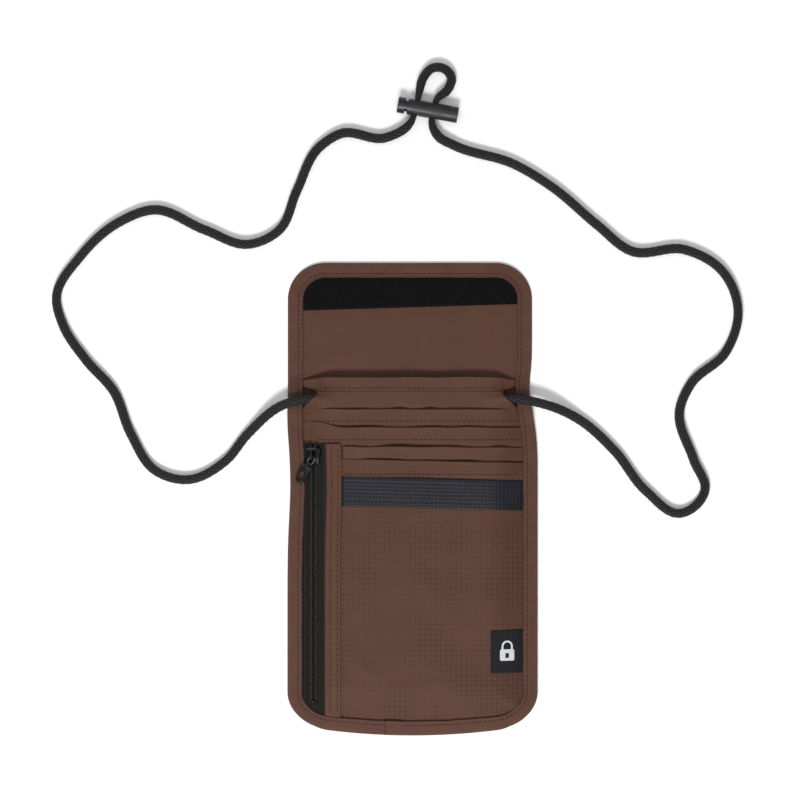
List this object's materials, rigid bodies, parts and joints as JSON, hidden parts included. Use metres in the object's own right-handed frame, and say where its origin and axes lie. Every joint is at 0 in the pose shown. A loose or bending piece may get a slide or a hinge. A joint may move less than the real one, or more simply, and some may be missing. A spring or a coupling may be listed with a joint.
{
  "type": "neck pouch wallet",
  "caption": "Flat travel neck pouch of brown ripstop, laid open: bound edges, layered card pockets, hook-and-loop flap, side zip pocket, and a black neck cord with a push-button cord lock.",
  "frame": {"origin": "middle of the open pouch's footprint, on the surface it lies on, without the cord", "axes": "+X to the right, +Y towards the end of the flap, +Z out of the pocket side"},
  "size_m": [0.3725, 0.3629, 0.0107],
  "materials": {
    "brown_ripstop": "ripstop nylon",
    "brown_lining": "coated nylon lining",
    "brown_binding": "woven binding tape",
    "foil_liner": "metal-coated cloth",
    "hook_tape": "nylon hooks",
    "loop_pile": "brushed nylon loops",
    "zip_tape": "woven polyester",
    "coil_nylon": "nylon coil",
    "gunmetal": "gunmetal plated",
    "label_weave": "woven label",
    "black_cord": "braided cord",
    "lock_plastic": "moulded acetal",
    "spring_steel": "bare steel"
  },
  "bodies": {
    "pouch": {"back_panel": "brown_ripstop", "back_rfid_liner": "foil_liner", "back_lining": "brown_lining", "main_pocket_panel": "brown_ripstop", "card_panel_1": "brown_ripstop", "card_panel_2": "brown_ripstop", "card_panel_3": "brown_ripstop", "front_panel": "brown_ripstop", "hook_tape": "hook_tape", "zip_placket": "brown_ripstop", "zip_tape_left": "zip_tape", "zip_tape_right": "zip_tape", "zip_coil_left": "coil_nylon", "zip_coil_right": "coil_nylon", "zip_top_stops": "gunmetal", "zip_bottom_stop": "gunmetal", "side_label": "label_weave", "body_binding": "brown_binding", "fold_strip": "brown_ripstop", "fold_binding": "brown_binding", "neck_cord": "black_cord", "lock_barrel": "lock_plastic", "lock_spring": "spring_steel"},
    "flap": {"flap_panel": "brown_ripstop", "flap_rfid_liner": "foil_liner", "flap_lining": "brown_lining", "loop_tape": "loop_pile", "flap_binding": "brown_binding"},
    "slider": {"slider_body": "gunmetal", "slider_crown": "gunmetal"},
    "pull_link": {"pull_link": "gunmetal"},
    "pull_tab": {"pull_tab": "gunmetal"},
    "plunger": {"lock_plunger": "lock_plastic"}
  },
  "joints": [
    {"name": "flap_fold", "type": "hinge", "parent": "pouch", "child": "flap", "pos_m": [0, 0.0575, 0.0063], "axis": [1, 0, 0], "range_deg": [0, 179.8], "deforming": ["fold_strip", "fold_binding"]},
    {"name": "slider_travel", "type": "slide", "parent": "pouch", "child": "slider", "axis": [0, -1, 0], "range_m": [0, 0.126]},
    {"name": "pull_swing", "type": "hinge", "parent": "slider", "child": "pull_link", "pos_m": [-0.05418, 0.0218, 0.00934], "axis": [-0.3363, 0, 0.9417], "range_deg": [0, 64]},
    {"name": "pull_lift", "type": "hinge", "parent": "pull_link", "child": "pull_tab", "pos_m": [-0.05547, 0.0196, 0.00888], "axis": [-0.7986, 0.5299, -0.2852], "range_deg": [0, 120]},
    {"name": "plunger_press", "type": "slide", "parent": "pouch", "child": "plunger", "axis": [0.9848, -0.1736, 0], "range_m": [0, 0.0013], "stiffness_N_per_m": 3000, "springref_m": -0.001, "deforming": ["lock_spring"]}
  ]
}
